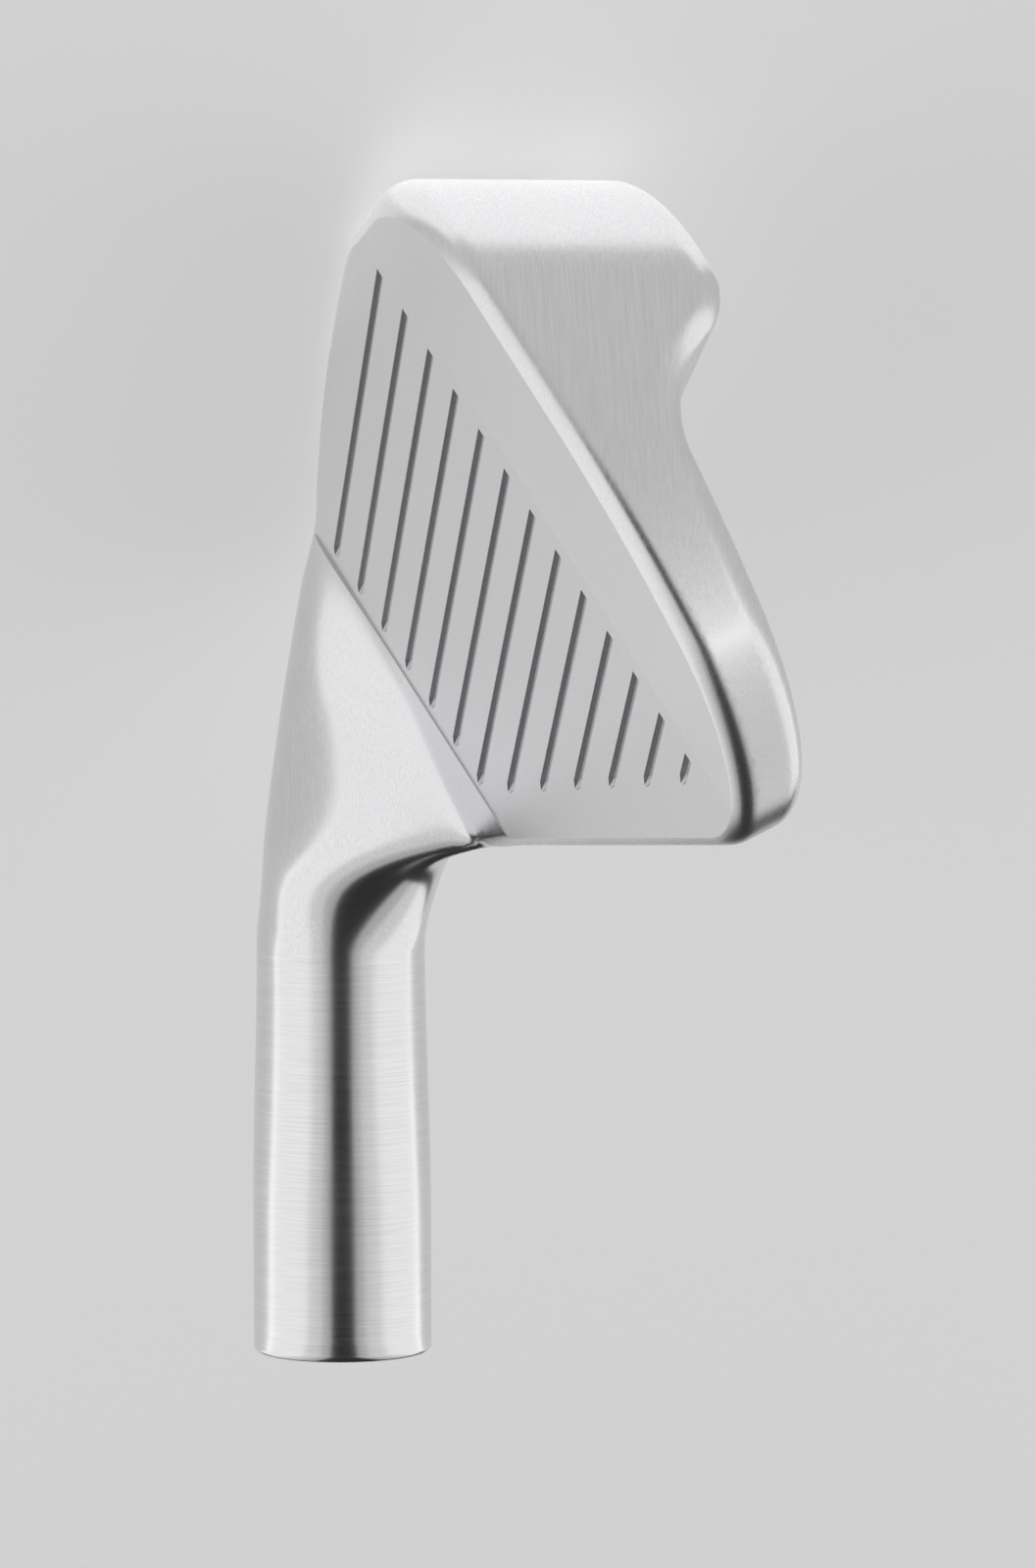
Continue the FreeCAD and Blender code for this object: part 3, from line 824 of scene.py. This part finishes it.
class Nodes:
    """Short ways to build a steel's node tree."""

    def __init__(self, name):
        self.material = bpy.data.materials.new(name)
        self.material.use_nodes = True
        self.tree = self.material.node_tree
        self.shader = self.tree.nodes["Principled BSDF"]
        self.place = self.tree.nodes.new("ShaderNodeTexCoord").outputs["Object"]

    def link(self, source, node, socket):
        self.tree.links.new(source, node.inputs[socket])

    def noise(self, stretch, turn=(0, 0, 0), detail=2.0):
        """Noise whose grains measure one over the stretch, in metres, along turned axes."""
        mapping = self.tree.nodes.new("ShaderNodeMapping")
        mapping.vector_type = "TEXTURE"
        mapping.inputs["Rotation"].default_value = turn
        mapping.inputs["Scale"].default_value = [1 / side for side in stretch]
        self.link(self.place, mapping, "Vector")
        noise = self.tree.nodes.new("ShaderNodeTexNoise")
        noise.inputs["Scale"].default_value = 1.0
        noise.inputs["Detail"].default_value = detail
        self.link(mapping.outputs["Vector"], noise, "Vector")
        return noise.outputs["Fac"]

    def spread(self, source, low, high, start=0.25, end=0.75):
        """The source's range from start to end, spread from low to high."""
        node = self.tree.nodes.new("ShaderNodeMapRange")
        limits = {"From Min": start, "From Max": end, "To Min": low, "To Max": high}
        for socket, value in limits.items():
            node.inputs[socket].default_value = value
        self.link(source, node, "Value")
        return node.outputs["Result"]

    def maths(self, operation, first, second):
        node = self.tree.nodes.new("ShaderNodeMath")
        node.operation = operation
        for socket, value in enumerate((first, second)):
            if isinstance(value, float):
                node.inputs[socket].default_value = value
            else:
                self.link(value, node, socket)
        return node.outputs["Value"]

    def add(self, first, second):
        return self.maths("ADD", first, second)

    def times(self, first, second):
        return self.maths("MULTIPLY", first, second)

    def axis(self, name):
        node = self.tree.nodes.new("ShaderNodeSeparateXYZ")
        self.link(self.place, node, "Vector")
        return node.outputs[name]

    def grey(self, source, dark, light):
        """A colour between two, chosen by the source."""
        node = self.tree.nodes.new("ShaderNodeMix")
        node.data_type = "RGBA"
        colours = [socket for socket in node.inputs if socket.type == "RGBA"]
        colours[0].default_value = (*dark, 1)
        colours[1].default_value = (*light, 1)
        self.link(source, node, 0)
        mixed = next(socket for socket in node.outputs if socket.type == "RGBA")
        self.link(mixed, self.shader, "Base Color")

    def bump(self, source, height):
        node = self.tree.nodes.new("ShaderNodeBump")
        node.inputs["Strength"].default_value = 1.0
        node.inputs["Distance"].default_value = height
        self.link(source, node, "Height")
        self.link(node.outputs["Normal"], self.shader, "Normal")

    def metal(self):
        self.shader.inputs["Metallic"].default_value = 1.0


def brushed_steel(name, stretch, turn, depth):
    """Satin steel with fine lines along the least stretched direction, duller towards the toe."""
    nodes = Nodes(name)
    nodes.metal()
    lines = nodes.noise(stretch, turn)
    patches = nodes.noise(SATIN_PATCHES, detail=1.0)
    nodes.grey(nodes.spread(lines, 0.0, 1.0), *SATIN_GREYS)
    duller = nodes.spread(nodes.axis("X"), 0.0, DULLER_TOE, DULL_FROM, DULL_UNTIL)
    middle = nodes.add(nodes.spread(patches, *SATIN_ROUGHNESS), duller)
    roughness = nodes.add(middle, nodes.spread(lines, -LINE_ROUGHNESS, LINE_ROUGHNESS))
    nodes.link(roughness, nodes.shader, "Roughness")
    nodes.bump(lines, depth)
    return nodes.material


def blasted_steel(name):
    """The milled face: fine grains where the grooves are, smoother beyond their toe ends."""
    nodes = Nodes(name)
    nodes.metal()
    grains = nodes.noise(BLASTING_GRAINS, detail=3.0)
    edge = (ORIGIN.x + BLASTED_FROM_X) * MM
    blasted = nodes.spread(nodes.axis("X"), 0.0, 1.0, edge - BLASTED_EDGE, edge + BLASTED_EDGE)
    lines = nodes.noise(MILLING_LINES)
    patches = nodes.noise(MILLED_PATCHES, detail=1.0)
    nodes.grey(nodes.times(nodes.spread(grains, 0.0, BLASTED_COLOUR), blasted), *MILLED_GREYS)
    smooth = nodes.spread(nodes.add(lines, patches), *MILLED_ROUGHNESS, *MILLED_NOISE)
    nodes.link(nodes.add(smooth, nodes.times(blasted, ROUGHER_BLASTED)), nodes.shader, "Roughness")
    relief = nodes.times(grains, nodes.spread(blasted, MILLED_RELIEF, 1.0, 0.0, 1.0))
    nodes.bump(relief, BLASTING_DEPTH)
    return nodes.material


def plain_solid(name, greys, metallic, roughness):
    """A cut or inner surface: a fine grain in colour, roughness and bump."""
    nodes = Nodes(name)
    nodes.shader.inputs["Metallic"].default_value = metallic
    grains = nodes.noise(INNER_GRAINS, detail=3.0)
    nodes.grey(nodes.spread(grains, 0.0, 1.0), *greys)
    uneven = nodes.spread(grains, roughness - INNER_UNEVEN, roughness + INNER_UNEVEN)
    nodes.link(uneven, nodes.shader, "Roughness")
    nodes.bump(grains, INNER_GRAIN_DEPTH)
    return nodes.material


def pilot_cutter():
    """The pilot hole in the neck, run on past the weld."""
    top = WELD + PILOT_OVERRUN
    profile = [
        (PILOT_CORE, PILOT_FLOOR),
        (PILOT_RADIUS, PILOT_FLOOR),
        (PILOT_RADIUS, top),
        (PILOT_CORE, top),
    ]
    return turned_mesh("pilot_cutter", profile, PILOT_SEGMENTS)


def make_blade():
    mesh = skin_of_forging()
    cut_at_weld(mesh)
    mesh = carve(mesh, [milling_cutter(), groove_cutter(), pilot_cutter()])
    mesh.name = "blade"
    forged, grooved = sort_faces(mesh)
    mesh.materials.clear()
    mesh.materials.append(brushed_steel("satin_steel", BLADE_BRUSHING, (0, 0, 0), BLADE_BRUSHING_DEPTH))
    mesh.materials.append(blasted_steel("milled_steel"))
    # The grooves' darker greys are painted shade in their recesses; their grain and roughness stand for
    # the cut steel.
    mesh.materials.append(plain_solid("groove_steel_painted_shade", GROOVE_PAINTED_SHADE_GREYS, 1.0, GROOVE_ROUGHNESS))
    satin, milled, groove = range(3)
    choice = np.select([forged, grooved], [satin, groove], milled)
    mesh.polygons.foreach_set("material_index", choice.astype(np.int32))
    set_normals(mesh, forged)
    blade = new_piece("blade_skin", mesh)
    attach(blade, "root")
    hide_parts("blade_forging")


def make_hosel():
    mesh = turned_mesh("hosel", hosel_profile(), HOSEL_SEGMENTS)
    for polygon in mesh.polygons:
        polygon.use_smooth = True
    mesh.set_sharp_from_angle(angle=HOSEL_CREASE)
    lean = math.pi / 2 - LIE
    steel = brushed_steel("hosel_satin", HOSEL_BRUSHING, (0, lean, 0), HOSEL_BRUSHING_DEPTH)
    mesh.materials.append(steel)
    hosel = new_piece("hosel_tube_turned", mesh)
    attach(hosel, "root")
    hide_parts("hosel_tube")


def finish_inner_pieces():
    """Gives the pin and its plug, which keep their CAD shapes, their looks."""
    for node, look in INNER_LOOKS.items():
        cad = frame["nodes"][node]
        cad.data.materials.clear()
        cad.data.materials.append(plain_solid(node, *look))


add_camera()
make_blade()
make_hosel()
finish_inner_pieces()
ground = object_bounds()[0][2]
add_floor(ground)
add_world()
add_lights(ground)
